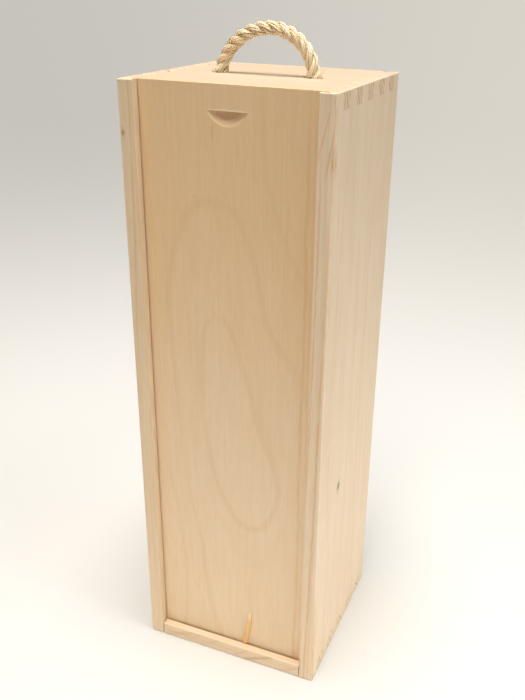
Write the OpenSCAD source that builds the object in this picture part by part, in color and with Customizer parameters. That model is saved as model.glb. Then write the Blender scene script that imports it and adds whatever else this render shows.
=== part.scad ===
// Upright wooden box for one wine bottle, with finger-jointed corners,
// a plywood lid that slides up out of its grooves and a rope carrying handle.
// Millimetres. The origin is the middle of the underside, +Z is up and the lid faces -Y.

/* [Box] */
// Width over the two side boards
box_w = 113; // [104:1:150]
// Depth from the front edges to the back
box_d = 106; // [90:1:140]
// Height of the side boards
box_h = 350; // [260:1:460]

/* [Boards] */
// Thickness of the two side boards
side_t = 8.5; // [7.5:0.1:13]
// Thickness of the top and bottom boards
end_t = 8.5; // [7.5:0.1:14]
// Width of the flat that takes the sharpness off every outer edge
arris = 0.4; // [0.2:0.1:1]
// Gap between each end of the lip and the side board beside it
lip_gap = 0.5; // [0.1:0.1:1]

/* [Finger joints] */
// Pins on each end of the top and bottom boards
pin_count = 5; // [3:1:7]

/* [Lid] */
// Thickness of the plywood lid
lid_t = 4; // [3:0.5:6]
// How far a side board's land stands in front of the lid groove
land_t = 4.6; // [3:0.1:8]
// Play of the lid in its saw groove, front to back
lid_play = 1; // [0.6:0.1:2]
// Depth of the groove in the side boards and in the bottom board
groove_depth = 3.5; // [2:0.1:5]
// Gap between the lid and the back wall of its groove
lid_back_gap = 0.1; // [0.1:0.05:0.2]
// Gap between each long edge of the lid and the floor of its groove
lid_edge_gap = 0.4; // [0.2:0.1:1]

/* [Finger notch] */
// Length of the notch's straight upper edge
notch_w = 22; // [16:0.2:30]
// Height of the notch on the face of the lid
notch_h = 7.4; // [4:0.1:9]
// Distance from the top of the lid down to the notch's straight edge
notch_drop = 12.3; // [6:0.1:40]
// Radius of the cutter that scooped the notch
notch_cutter_r = 25; // [20:1:60]

/* [Back panel] */
// Thickness of the plywood back panel, which lies flush in its rebates
back_t = 4; // [3:0.5:6]
// Width of the rebate that carries each long edge of the back panel
rebate_w = 3.5; // [2:0.1:5]
// Gap round the edges of the back panel
back_gap = 0.2; // [0.1:0.1:0.5]

/* [Rope handle] */
// Diameter of the rope
rope_d = 7; // [5:0.5:8]
// Distance between the middles of the two rope holes
rope_span = 51.6; // [50:0.2:62]
// Rise of the rope's centreline above the top of the box
rope_rise = 22.7; // [18:0.1:25]
// Radius of the rope's bend just above each hole
rope_leg_r = 16; // [12:0.5:17]
// How far the arch leans to the right at its top
rope_lean = 1.9; // [0:0.1:4]
// Clearance between the rope and the wall of its hole
rope_gap = 0.75; // [0.5:0.05:1.5]
// Width of the bevel that eases the mouth of each hole
hole_ease = 0.5; // [0.2:0.1:1]
// Gap between the foot of the arch and the rope below it, inside the hole
foot_gap = 0.3; // [0.1:0.1:0.5]

/* [Splint] */
// Width of the loose splint that is pushed between the lid and the lip
splint_w = 4; // [2:0.5:8]
// Length of the splint
splint_len = 29.5; // [20:0.5:60]
// Greatest thickness of the splint
splint_t = 1.7; // [1:0.1:3]
// How far to the right of the middle the splint's foot stands
splint_x = 8.2; // [-30:0.1:30]
// How far the splint leans to the right, in degrees
splint_lean = 7; // [-15:1:15]
// Gap between the splint and what it is pushed between
splint_gap = 0.1; // [0.05:0.05:0.15]

/* [Hidden] */

$fn = 64;
// how far a cutter runs past the face that it opens
over = 1;

inner_w = box_w - 2 * side_t;
front_y = -box_d / 2;
back_y = box_d / 2;
inner_h = box_h - 2 * end_t;

// the lid groove lies behind the land, and the first pin starts at its back wall
groove_w = lid_t + lid_play;
groove_back = land_t + groove_w;
lid_floor = end_t - groove_depth;
lid_front_y = front_y + groove_back - lid_back_gap - lid_t;
lid_w = inner_w + 2 * (groove_depth - lid_edge_gap);

// pins and the fingers between them share the depth behind the groove evenly
finger_pitch = (box_d - groove_back) / (2 * pin_count);

// the back panel stands between the top and bottom boards, against its rebates
back_w = inner_w + 2 * (rebate_w - back_gap);
back_h = inner_h - 2 * back_gap;

// the arch is a wide arc over the top and a tighter one down to each hole
arch_half = rope_span / 2;
leg_x = arch_half - rope_leg_r;
crown_drop = (leg_x * leg_x - pow(rope_rise - rope_leg_r, 2)) / (2 * (rope_rise - rope_leg_r));
crown_r = rope_rise + crown_drop;
meet_angle = atan2(crown_drop, leg_x);
hole_d = rope_d + 2 * rope_gap;

// course of the rope from the foot of the arch, down through the hole and round the
// overhand knot to its cut end: right, back and up from the middle of the hole's mouth,
// chosen for rope of knot_rope_d under a board of knot_board_t, and scaled to other rope
knot_points = [
    [0, 0, -3.8], [0, 0, -8.5], [-0.5, -0.5, -13], [-2, 0, -18],
    [-2.5, 3.5, -22.5], [1, 7, -26], [7, 7.5, -27], [12, 4.5, -25.5],
    [13.5, -1.5, -21.5], [9.5, -7, -17.5], [3.5, -9, -15.5], [-2.5, -9, -13.5],
    [-7.5, -5.5, -12.5], [-8.5, 0.5, -12.5], [-6, 6, -14], [0, 8, -16],
    [4.5, 5, -18], [5, -0.5, -22], [4, -2, -27.5], [3, -1.5, -33]
];
knot_rope_d = 7;
knot_board_t = 8.5;
knot_steps = 2;
knot_sides = 8;
arch_sides = 12;

// height of the splint's toe above the floor of the groove
toe_rise = 0.5;
// the splint seen from the front, as shares of half its width and of its length: a straight
// foot, a kink to the right and a blunt tip that leans back
splint_outline = [
    [-0.90, 0], [0.95, 0], [1.00, 0.28], [1.20, 0.42], [1.38, 0.55], [1.36, 0.75],
    [1.05, 0.90], [0.50, 0.985], [0.15, 1], [-0.15, 0.985], [-0.35, 0.92], [-0.20, 0.80],
    [-0.15, 0.55], [-0.45, 0.43], [-0.85, 0.30]
];

// ---- shared shapes ----

// rectangle about the origin with its four corners cut at 45 degrees
module eased_rect(w, d) {
    x = w / 2;
    y = d / 2;
    polygon([[x - arris, -y], [x, -y + arris], [x, y - arris], [x - arris, y],
             [-x + arris, y], [-x, y - arris], [-x, -y + arris], [-x + arris, -y]]);
}

// the whole box as one block with every outer edge eased, which trims each board
module eased_block() {
    intersection() {
        linear_extrude(height = box_h)
            eased_rect(box_w, box_d);
        translate([0, 0, box_h / 2])
            rotate([90, 0, 0])
                linear_extrude(height = box_d, center = true)
                    eased_rect(box_w, box_h);
        translate([0, 0, box_h / 2])
            rotate([90, 0, 90])
                linear_extrude(height = box_w, center = true)
                    eased_rect(box_d, box_h);
    }
}

// how far behind the front edges pin number i starts
function pin_start(i) = groove_back + 2 * i * finger_pitch;

// the pins on the right-hand end of a board whose underside is at height z
module pins(z) {
    for (i = [0 : pin_count - 1])
        translate([inner_w / 2 - over, front_y + pin_start(i), z])
            cube([side_t + over, finger_pitch, end_t]);
}

// ---- boards ----

// the right-hand side board: lid groove in front, rebate behind, sockets at both ends
module side_board() {
    intersection() {
        eased_block();
        difference() {
            translate([inner_w / 2, front_y, 0])
                cube([side_t, box_d, box_h]);
            translate([inner_w / 2 - over, front_y + land_t, lid_floor])
                cube([groove_depth + over, groove_w, box_h]);
            translate([inner_w / 2 - over, back_y - back_t, -over])
                cube([rebate_w + over, back_t + over, box_h + 2 * over]);
            for (i = [0 : pin_count - 1])
                for (z = [-over, box_h - end_t])
                    translate([inner_w / 2 - over, front_y + pin_start(i), z])
                        cube([side_t + 2 * over, finger_pitch, end_t + over]);
        }
    }
}

module right_side() {
    color("blanchedalmond")
        side_board();
}

module left_side() {
    color("blanchedalmond")
        mirror([1, 0, 0])
            side_board();
}

// a board between the two sides, from its front edge to the back, with its pins
module end_board(z, front) {
    intersection() {
        eased_block();
        union() {
            translate([-inner_w / 2, front, z])
                cube([inner_w, back_y - front, end_t]);
            pins(z);
            mirror([1, 0, 0])
                pins(z);
        }
    }
}

// a rope hole with its eased mouth, drilled down from the top of the box
module rope_hole() {
    translate([0, 0, box_h - end_t - over])
        cylinder(d = hole_d, h = end_t + 2 * over);
    translate([0, 0, box_h - hole_ease])
        cylinder(d1 = hole_d, d2 = hole_d + 4 * hole_ease, h = 2 * hole_ease);
}

module top_board() {
    color("bisque")
        difference() {
            end_board(box_h - end_t, front_y + groove_back);
            for (side = [-1, 1])
                translate([side * arch_half, 0, 0])
                    rope_hole();
        }
}

// the bottom board runs to the front, where it is the lip that the lid stands behind
module bottom_board() {
    color("bisque")
        difference() {
            end_board(0, front_y);
            translate([-inner_w / 2 - over, front_y + land_t, lid_floor])
                cube([inner_w + 2 * over, groove_w, end_t]);
            translate([0, front_y, end_t])
                rotate([45, 0, 0])
                    cube([inner_w + 2 * over, arris * sqrt(2), arris * sqrt(2)], center = true);
            for (side = [-1, 1])
                translate([side * inner_w / 2, front_y + groove_back / 2 - over / 2, end_t / 2])
                    cube([2 * lip_gap, groove_back + over, end_t + 2 * over], center = true);
        }
}

module back_panel() {
    color("wheat")
        translate([-back_w / 2, back_y - back_t, end_t + back_gap])
            cube([back_w, back_t, back_h]);
}

// ---- lid ----

// a ball cutter sunk at the notch's straight edge, so that only its lower half cuts
module notch() {
    face_r = (notch_w * notch_w / 4 + notch_h * notch_h) / (2 * notch_h);
    out = sqrt(notch_cutter_r * notch_cutter_r - face_r * face_r);
    edge_z = box_h - notch_drop;
    intersection() {
        translate([0, lid_front_y - out, edge_z + face_r - notch_h])
            sphere(r = notch_cutter_r);
        translate([-notch_w, lid_front_y - over, edge_z - 2 * notch_h])
            cube([2 * notch_w, lid_t, 2 * notch_h]);
    }
}

module lid() {
    color("burlywood")
        difference() {
            translate([-lid_w / 2, lid_front_y, lid_floor])
                cube([lid_w, lid_t, box_h - lid_floor]);
            notch();
        }
}

// a sliver with a thin toe, a full middle and a pointed tip; its back lies on the lid
module lid_splint() {
    toe_t = lid_play - lid_back_gap - 2 * splint_gap;
    lip = groove_depth - toe_rise;
    half = splint_w / 2;
    len = splint_len;
    color("goldenrod")
        translate([splint_x, lid_front_y - splint_gap, lid_floor + toe_rise])
            rotate([0, splint_lean, 0])
                intersection() {
                    // its outline as seen from the front
                    rotate([90, 0, 0])
                        linear_extrude(height = splint_t)
                            polygon([for (p = splint_outline) [half * p[0], len * p[1]]]);
                    // its outline from the side, thin enough for the groove up to the lip
                    rotate([90, 0, -90])
                        linear_extrude(height = 2 * splint_w, center = true)
                            polygon([[0, 0], [toe_t * 0.7, 0], [toe_t, lip],
                                     [splint_t, 3 * lip], [splint_t, 0.7 * len],
                                     [splint_t * 0.5, 0.93 * len], [splint_t * 0.2, len],
                                     [0, len]]);
                }
}

// ---- rope ----

function unit(v) = v / norm(v);

// a smooth curve through four points, between the middle two
function curve_point(a, b, c, d, t) =
    (2 * b + (c - a) * t + (2 * a - 5 * b + 4 * c - d) * t * t
     + (3 * b - a - 3 * c + d) * t * t * t) / 2;

// the course through a list of points, with this many steps from each to the next
function course(p, steps) =
    let (last = len(p) - 1)
    [for (i = [0 : last - 1], s = [0 : steps - 1])
        curve_point(i == 0 ? 2 * p[0] - p[1] : p[i - 1], p[i], p[i + 1],
                    i == last - 1 ? 2 * p[last] - p[last - 1] : p[i + 2], s / steps),
     p[last]];

function headings(c) =
    [for (i = [0 : len(c) - 1]) unit(c[min(i + 1, len(c) - 1)] - c[max(i - 1, 0)])];

// a direction square to the course, carried along it without twisting
function carried(h) =
    [for (i = 0, n = unit(cross(h[0], [0, 1, 0])); i < len(h);
          i = i + 1, n = i < len(h) ? unit(n - (n * h[i]) * h[i]) : n) n];

// the least gap between turns of a tube that are further apart than two diameters along it
function least_gap(c, d) =
    min([for (i = [0 : len(c) - 2], j = [i + 1 : len(c) - 1])
        if (j - i > 2 * d * (len(c) - 1) / course_length(c)) norm(c[i] - c[j])]) - d;

function course_length(c) =
    [for (i = [1 : len(c) - 1]) norm(c[i] - c[i - 1])] * [for (i = [1 : len(c) - 1]) 1];

// one unbroken tube along a course, with a radius for each ring
module tube(c, radii, sides) {
    h = headings(c);
    n = carried(h);
    rings = [for (i = [0 : len(c) - 1], k = [0 : sides - 1])
        c[i] + radii[i] * (cos(360 * k / sides) * n[i]
                           + sin(360 * k / sides) * cross(h[i], n[i]))];
    last = (len(c) - 1) * sides;
    walls = [for (i = [0 : len(c) - 2], k = [0 : sides - 1], half = [0, 1])
        let (a = i * sides + k, b = i * sides + (k + 1) % sides)
        half == 0 ? [a, a + sides, b] : [b, a + sides, b + sides]];
    polyhedron(points = rings,
               faces = concat(walls, [[for (k = [0 : sides - 1]) k]],
                              [[for (k = [sides - 1 : -1 : 0]) last + k]]));
}

// points along an arc in the plane of the arch, about a point at x and z, after its start,
// leaning to the right as they rise
function arc_points(x, z, r, from, to, steps) =
    [for (i = [1 : steps])
        let (a = from + (to - from) * i / steps, rise = z + r * sin(a))
        [x + r * cos(a) + rope_lean * rise / rope_rise, 0, rise]];

// rings from the tip of a rounded foot up to the mouth of its hole, as depth and radius
foot_rings = [for (a = [80 : -20 : 20]) rope_d / 2 * [sin(a), cos(a)]];

// the arch stands on two rounded feet that turn in the mouths of the holes
module rope_handle() {
    feet = len(foot_rings);
    arch = concat([[arch_half, 0, 0]],
                  arc_points(leg_x, 0, rope_leg_r, 0, meet_angle, 4),
                  arc_points(0, -crown_drop, crown_r, meet_angle, 180 - meet_angle, 16),
                  arc_points(-leg_x, 0, rope_leg_r, 180 - meet_angle, 180, 4));
    right_foot = [for (i = [0 : feet - 1]) [arch_half, 0, -foot_rings[i][0]]];
    left_foot = [for (i = [feet - 1 : -1 : 0]) [-arch_half, 0, -foot_rings[i][0]]];
    radii = concat([for (i = [0 : feet - 1]) foot_rings[i][1]],
                   [for (i = [1 : len(arch)]) rope_d / 2],
                   [for (i = [feet - 1 : -1 : 0]) foot_rings[i][1]]);
    color("wheat")
        translate([0, 0, box_h])
            tube(concat(right_foot, arch, left_foot), radii, arch_sides);
}

// the knot's points, from the first ring that clears the arch's foot, under this board
function knot_route() =
    let (k = rope_d / knot_rope_d)
    concat([[0, 0, -rope_d / 2 - foot_gap]],
           [for (i = [1 : len(knot_points) - 1])
               let (p = knot_points[i])
               [k * p[0], k * p[1], k * (p[2] + knot_board_t) - end_t]]);

// the rope below the arch, through its hole and round the knot
module rope_knot() {
    rope = course(knot_route(), knot_steps);
    translate([0, 0, box_h])
        tube(rope, [for (i = [1 : len(rope)]) rope_d / 2], knot_sides);
}

module rope_knot_right() {
    color("wheat")
        translate([arch_half, 0, 0])
            rope_knot();
}

module rope_knot_left() {
    color("wheat")
        translate([-arch_half, 0, 0])
            rotate([0, 0, 180])
                rope_knot();
}

// steps between the knot's points when its gap to itself is measured and printed
gap_steps = 6;
echo(knot_least_gap = least_gap(course(knot_route(), gap_steps), rope_d),
     knot_rope_length = course_length(course(knot_route(), gap_steps)));

left_side();
right_side();
top_board();
bottom_board();
back_panel();
lid();
rope_handle();
rope_knot_left();
rope_knot_right();
lid_splint();
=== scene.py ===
# Finishes of an upright wooden box for one wine bottle: softwood boards with finger
# joints, a plywood lid and back, a three-strand rope handle and a loose splint.
# Metres. The box stands on z = 0 and its lid faces -Y.
import math
import random

import bpy
import numpy as np
from mathutils import Matrix, Quaternion, Vector


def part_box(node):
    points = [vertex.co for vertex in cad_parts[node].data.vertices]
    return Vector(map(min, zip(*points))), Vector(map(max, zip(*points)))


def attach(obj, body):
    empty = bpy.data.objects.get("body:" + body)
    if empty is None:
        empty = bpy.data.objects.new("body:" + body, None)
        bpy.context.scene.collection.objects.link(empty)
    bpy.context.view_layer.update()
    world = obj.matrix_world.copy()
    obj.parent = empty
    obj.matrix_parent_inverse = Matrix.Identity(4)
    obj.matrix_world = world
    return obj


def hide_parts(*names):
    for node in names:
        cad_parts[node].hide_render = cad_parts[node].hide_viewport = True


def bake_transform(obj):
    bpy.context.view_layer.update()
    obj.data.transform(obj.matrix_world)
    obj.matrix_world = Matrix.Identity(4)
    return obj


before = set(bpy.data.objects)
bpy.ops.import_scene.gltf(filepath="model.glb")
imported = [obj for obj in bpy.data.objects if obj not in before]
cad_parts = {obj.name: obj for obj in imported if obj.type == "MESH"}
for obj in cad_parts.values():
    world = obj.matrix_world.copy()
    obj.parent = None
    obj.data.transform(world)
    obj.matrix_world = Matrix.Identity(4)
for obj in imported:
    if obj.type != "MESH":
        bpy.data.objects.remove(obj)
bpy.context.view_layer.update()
random.seed(11)

# the outside of the wooden box, without its rope
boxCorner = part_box("right_side")[1]
boxSize = {
    "half": (boxCorner.x, boxCorner.y, boxCorner.z / 2),
    "middle": (0.0, 0.0, boxCorner.z / 2),
    "top": boxCorner.z,
}

# camera, fitted to the corners of the box in the photograph
camera = {
    "place": (0.1720, -0.4035, 0.3951),
    "forward": (-0.3321, 0.8444, -0.4203),
    "roll": 1.18,
    "focalPixels": 806.2,
    "middlePixel": (284.8, 352.5),
    "picture": (525, 700),
    "sensor": 36.0,
}

# soft studio light from above, and a pale floor that fades into an even backdrop; the
# backdrop and the floor's seen tone show only to the camera, so they colour nothing else
studio = {
    "backdropLeft": (0.575, 0.553, 0.510),
    "backdropRight": (0.695, 0.655, 0.590),
    "toTheRight": (0.93, 0.366, 0.0),
    "backdropTurn": (-0.35, 0.35),
    "ambient": (1.0, 1.0, 1.0),
    "ambientStrength": 0.05,
    "floorNear": (0.93, 0.92, 0.895),
    "floorSeen": (0.71, 0.70, 0.66),
    "floorFade": (0.30, 2.2),
    "floorGlow": (0.27, 2.0),
    "floorSize": 80.0,
    "floorDrop": 0.0001,
    "floorRoughness": 0.8,
}
lamps = [
    {"name": "over", "place": (0.0, -0.15, 3.0), "size": 1.4, "power": 101.0,
     "colour": (1.0, 0.965, 0.94), "aim": (0.0, 0.0, 0.10)},
    {"name": "overFront", "place": (0.10, -1.10, 2.8), "size": 0.8, "power": 19.0,
     "colour": (1.0, 0.965, 0.92), "aim": (0.0, 0.0, 0.15)},
    {"name": "farFront", "place": (0.10, -1.8, 0.60), "size": 0.60, "power": 3.4,
     "colour": (1.0, 1.0, 1.0), "aim": (0.0, 0.0, 0.15)},
    {"name": "farRight", "place": (1.2, -0.10, 0.90), "size": 0.60, "power": 4.6,
     "colour": (0.865, 0.932, 1.0), "aim": (0.0, 0.0, 0.15)},
    {"name": "lowRight", "place": (0.52, -0.10, 0.06), "size": 0.30, "power": 0.8,
     "colour": (0.83, 0.915, 1.0), "aim": (0.05, 0.0, 0.06)},
]


def plug(tree, socket, value):
    if isinstance(value, bpy.types.NodeSocket):
        tree.links.new(value, socket)
    else:
        socket.default_value = value


def addNode(tree, kind, values=None, **settings):
    new = tree.nodes.new("ShaderNode" + kind)
    for name, value in settings.items():
        setattr(new, name, value)
    for name, value in (values or {}).items():
        plug(tree, new.inputs[name], value)
    return new


def useGroup(tree, group, values):
    return addNode(tree, "Group", values, node_tree=group).outputs


def calc(tree, operation, *values, clamp=False):
    new = addNode(tree, "Math", dict(enumerate(values)), operation=operation, use_clamp=clamp)
    return new.outputs[0]


def plus(tree, first, second):
    return calc(tree, "ADD", first, second)


def minus(tree, first, second):
    return calc(tree, "SUBTRACT", first, second)


def times(tree, first, second):
    return calc(tree, "MULTIPLY", first, second)


def timesPlus(tree, first, second, third):
    return calc(tree, "MULTIPLY_ADD", first, second, third)


# the length of two steps square to each other, taken together
def bothSteps(tree, x, y):
    return calc(tree, "SQRT", plus(tree, times(tree, x, x), times(tree, y, y)))


# the value that lies a share of the way between two ends
def between(tree, share, ends):
    return timesPlus(tree, share, ends[1] - ends[0], ends[0])


def vectorCalc(tree, operation, *values):
    new = addNode(tree, "VectorMath", dict(enumerate(values)), operation=operation)
    return new.outputs["Value" if operation in ("LENGTH", "DOT_PRODUCT") else "Vector"]


def scaled(tree, vector, factors):
    return vectorCalc(tree, "MULTIPLY", vector, factors)


def split(tree, vector):
    return addNode(tree, "SeparateXYZ", {"Vector": vector}).outputs


def combine(tree, x, y, z=0.0):
    return addNode(tree, "CombineXYZ", {"X": x, "Y": y, "Z": z}).outputs[0]


def noise(tree, vector, scale, detail=2.0, roughness=0.5, output="Fac", dimensions="3D"):
    name = "W" if dimensions == "1D" else "Vector"
    new = addNode(tree, "TexNoise", {name: vector, "Scale": scale, "Detail": detail,
                                     "Roughness": roughness}, noise_dimensions=dimensions)
    return new.outputs[output]


# noise in all three directions, as often below zero as above it
def drift(tree, vector, scale, detail=2.0, roughness=0.5):
    colour = noise(tree, vector, scale, detail, roughness, "Color")
    return vectorCalc(tree, "SUBTRACT", colour, (0.5, 0.5, 0.5))


def fade(tree, value, start, end, low=0.0, high=1.0):
    new = addNode(tree, "MapRange", {"Value": value, "From Min": start, "From Max": end,
                                     "To Min": low, "To Max": high},
                  interpolation_type="SMOOTHSTEP")
    return new.outputs["Result"]


def tint(tree, share, first, second, blend="MIX"):
    first, second = [value if isinstance(value, bpy.types.NodeSocket) else (*value, 1.0)
                     for value in (first, second)]
    new = addNode(tree, "Mix", {0: share, 6: first, 7: second}, data_type="RGBA",
                  blend_type=blend)
    return new.outputs[2]


# a colour laid over another one where a mask says, and as strongly as a share says
def layer(tree, below, colour, mask, share, blend="MIX"):
    return tint(tree, times(tree, mask, share), below, colour, blend)


def startGroup(name, inputs, outputs):
    group = bpy.data.node_groups.new(name, "ShaderNodeTree")
    for label, kind, value in inputs:
        socket = group.interface.new_socket(label, in_out="INPUT", socket_type="NodeSocket" + kind)
        socket.default_value = value
    for label, kind in outputs:
        group.interface.new_socket(label, in_out="OUTPUT", socket_type="NodeSocket" + kind)
    entry = group.nodes.new("NodeGroupInput")
    leave = group.nodes.new("NodeGroupOutput")
    return group, entry.outputs, leave.inputs


# growth rings round a pith that runs along Z, pale early wood turning slowly to a dark
# late line that ends sharply; some runs of years are wider than others
ringShape = {
    "grain": (1.0, 1.0, 0.10),
    "swayScale": 26.0,
    "rippleScale": 170.0,
    "ripple": (0.0007, 0.0007, 0.0),
    "seasonScale": 0.31,
    "seasonSpan": 2.4,
    "lateEnd": (0.93, 1.0),
}


def makeGrowthRings():
    tree, given, out = startGroup(
        "growth rings",
        [("Vector", "Vector", (0, 0, 0)), ("Pith X", "Float", 0.1), ("Pith Y", "Float", 0.1),
         ("Ring Width", "Float", 0.003), ("Wobble", "Float", 0.002), ("Seed", "Float", 0.0),
         ("Sharpness", "Float", 3.2), ("Least", "Float", 0.25)],
        [("Late Wood", "Float")])
    shifted = vectorCalc(tree, "ADD", scaled(tree, given["Vector"], ringShape["grain"]),
                         combine(tree, given["Seed"], given["Seed"]))
    sway = drift(tree, shifted, ringShape["swayScale"], 1.5, 0.45)
    ripple = drift(tree, shifted, ringShape["rippleScale"])
    wobble = combine(tree, given["Wobble"], given["Wobble"])
    swayed = vectorCalc(tree, "MULTIPLY_ADD", sway, wobble, given["Vector"])
    parts = split(tree, vectorCalc(tree, "MULTIPLY_ADD", ripple, ringShape["ripple"], swayed))
    radius = bothSteps(tree, minus(tree, parts["X"], given["Pith X"]),
                       minus(tree, parts["Y"], given["Pith Y"]))
    years = calc(tree, "DIVIDE", radius, given["Ring Width"])
    seasons = noise(tree, plus(tree, years, given["Seed"]), ringShape["seasonScale"], 1.0,
                    dimensions="1D")
    count = timesPlus(tree, minus(tree, seasons, 0.5), ringShape["seasonSpan"], years)
    part = calc(tree, "FRACT", count)
    whole = plus(tree, calc(tree, "FLOOR", count), given["Seed"])
    tone = addNode(tree, "TexWhiteNoise", {"W": whole}, noise_dimensions="1D").outputs["Value"]
    rise = calc(tree, "POWER", part, given["Sharpness"])
    line = times(tree, rise, fade(tree, part, *ringShape["lateEnd"], 1.0, 0.0))
    spare = minus(tree, 1.0, given["Least"])
    strength = timesPlus(tree, tone, spare, given["Least"])
    plug(tree, out["Late Wood"], times(tree, line, strength))
    return tree


# fine fibres along Z: streaks a few tenths of a millimetre wide and centimetres long
fibreShape = {
    "coarseScale": 900.0,
    "coarseShare": 0.6,
    "fineScale": 3600.0,
    "fineShare": 0.4,
    "streak": (0.36, 0.64),
    "patchGrain": (1.0, 1.0, 0.22),
    "patchScale": 55.0,
    "patch": (0.32, 0.68),
}


def makeWoodFibre():
    tree, given, out = startGroup(
        "wood fibre",
        [("Vector", "Vector", (0, 0, 0)), ("Fineness", "Float", 1.0), ("Length", "Float", 0.02)],
        [("Streak", "Float"), ("Height", "Float"), ("Patch", "Float")])
    along = scaled(tree, given["Vector"], combine(tree, 1.0, 1.0, given["Length"]))
    coarse = noise(tree, along, times(tree, given["Fineness"], fibreShape["coarseScale"]), 3.0, 0.6)
    fine = noise(tree, along, times(tree, given["Fineness"], fibreShape["fineScale"]))
    both = plus(tree, times(tree, coarse, fibreShape["coarseShare"]),
                times(tree, fine, fibreShape["fineShare"]))
    wide = scaled(tree, given["Vector"], fibreShape["patchGrain"])
    patches = noise(tree, wide, fibreShape["patchScale"], 2.0, 0.55)
    plug(tree, out["Streak"], fade(tree, both, *fibreShape["streak"]))
    plug(tree, out["Height"], both)
    plug(tree, out["Patch"], fade(tree, patches, *fibreShape["patch"]))
    return tree


# how near a point on the surface lies to an outer edge of a box, broken up by noise
wearShape = {
    "scale": 420.0,
    "raggedness": 1.4,
}


def makeEdgeWear():
    tree, given, out = startGroup(
        "edge wear",
        [("Vector", "Vector", (0, 0, 0)), ("Middle", "Vector", (0, 0, 0)),
         ("Half Size", "Vector", (1, 1, 1)), ("Reach", "Float", 0.002)],
        [("Edge", "Float")])
    offset = vectorCalc(tree, "ABSOLUTE", vectorCalc(tree, "SUBTRACT", given["Vector"],
                                                     given["Middle"]))
    gap = split(tree, vectorCalc(tree, "SUBTRACT", given["Half Size"], offset))
    least = calc(tree, "MINIMUM", gap["X"], gap["Y"])
    most = calc(tree, "MAXIMUM", gap["X"], gap["Y"])
    second = calc(tree, "MAXIMUM", least, calc(tree, "MINIMUM", most, gap["Z"]))
    rough = noise(tree, given["Vector"], wearShape["scale"], 3.0, 0.6)
    near = calc(tree, "DIVIDE", second, given["Reach"])
    ragged = timesPlus(tree, rough, wearShape["raggedness"],
                       minus(tree, near, wearShape["raggedness"] / 2))
    plug(tree, out["Edge"], fade(tree, ragged, 0.0, 1.0, 1.0, 0.0))
    return tree


# one mark on the wood, such as a knot, a pitch streak or a painted highlight along an edge: 1 in
# its middle, 0 outside
markShape = {
    "scale": 900.0,
    "raggedness": (0.0008, 0.0008, 0.0008),
    "mark": (0.55, 1.1),
    "halo": (0.8, 2.6),
}


def makeWoodMarkAndHighlight():
    tree, given, out = startGroup(
        "wood mark and highlight",
        [("Vector", "Vector", (0, 0, 0)), ("Place", "Vector", (0, 0, 0)),
         ("Size", "Vector", (0.001, 0.001, 0.001)), ("Lean", "Float", 0.0)],
        [("Mark", "Float"), ("Halo", "Float")])
    ragged = drift(tree, given["Vector"], markShape["scale"])
    parts = split(tree, vectorCalc(tree, "MULTIPLY_ADD", ragged, markShape["raggedness"],
                                   vectorCalc(tree, "SUBTRACT", given["Vector"], given["Place"])))
    y = timesPlus(tree, parts["Z"], given["Lean"], parts["Y"])
    leaning = combine(tree, parts["X"], y, parts["Z"])
    far = vectorCalc(tree, "LENGTH", vectorCalc(tree, "DIVIDE", leaning, given["Size"]))
    plug(tree, out["Mark"], fade(tree, far, *markShape["mark"], 1.0, 0.0))
    plug(tree, out["Halo"], fade(tree, far, *markShape["halo"], 1.0, 0.0))
    return tree


# one dark line on a face, which bends slowly as it runs and fades at its ends: used for lines of
# grain, and on the lid also for a painted shadow
lineShape = {
    "quiverScale": 140.0,
    "quiver": 0.0009,
    "core": 0.15,
    "endShare": 0.25,
    "breakScale": 60.0,
    "break": (0.25, 0.55),
    "faintest": 0.55,
}


def makeGrainAndShadowLine():
    tree, given, out = startGroup(
        "grain and shadow line",
        [("Across", "Float", 0.0), ("Along", "Float", 0.0), ("Start", "Float", 0.0),
         ("Slope", "Float", 0.0), ("Bow", "Float", 0.0), ("Width", "Float", 0.001),
         ("From", "Float", 0.0), ("To", "Float", 1.0)],
        [("Line", "Float")])
    along = given["Along"]
    bend = timesPlus(tree, along, given["Bow"], given["Slope"])
    quiver = noise(tree, along, lineShape["quiverScale"], dimensions="1D")
    middle = timesPlus(tree, minus(tree, quiver, 0.5), lineShape["quiver"],
                       timesPlus(tree, along, bend, given["Start"]))
    gap = calc(tree, "ABSOLUTE", minus(tree, given["Across"], middle))
    line = fade(tree, calc(tree, "DIVIDE", gap, given["Width"]), lineShape["core"], 1.0, 1.0, 0.0)
    reach = times(tree, minus(tree, given["To"], given["From"]), lineShape["endShare"])
    fromEnd = calc(tree, "MINIMUM", minus(tree, along, given["From"]),
                   minus(tree, given["To"], along))
    ends = fade(tree, calc(tree, "DIVIDE", fromEnd, reach), 0.0, 1.0)
    broken = noise(tree, plus(tree, along, given["Start"]), lineShape["breakScale"], 2.0, 0.6,
                   dimensions="1D")
    firm = fade(tree, broken, *lineShape["break"], lineShape["faintest"], 1.0)
    plug(tree, out["Line"], times(tree, times(tree, line, ends), firm))
    return tree


growthRings = makeGrowthRings()
woodFibre = makeWoodFibre()
edgeWear = makeEdgeWear()
woodMarkAndHighlight = makeWoodMarkAndHighlight()
grainAndShadowLine = makeGrainAndShadowLine()
print("node groups made")


def startMaterial(name, specular=0.35):
    material = bpy.data.materials.new(name)
    material.use_nodes = True
    shader = material.node_tree.nodes["Principled BSDF"]
    shader.inputs["Specular IOR Level"].default_value = specular
    return material, material.node_tree, shader.inputs


def finishSurface(tree, surface, colour, roughness, height, strength, distance):
    bump = addNode(tree, "Bump", {"Height": height, "Strength": strength, "Distance": distance})
    plug(tree, surface["Base Color"], colour)
    plug(tree, surface["Roughness"], roughness)
    plug(tree, surface["Normal"], bump.outputs["Normal"])


def useMark(tree, place, spot, size, lean):
    return useGroup(tree, woodMarkAndHighlight, {"Vector": place, "Place": spot, "Size": size, "Lean": lean})


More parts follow.
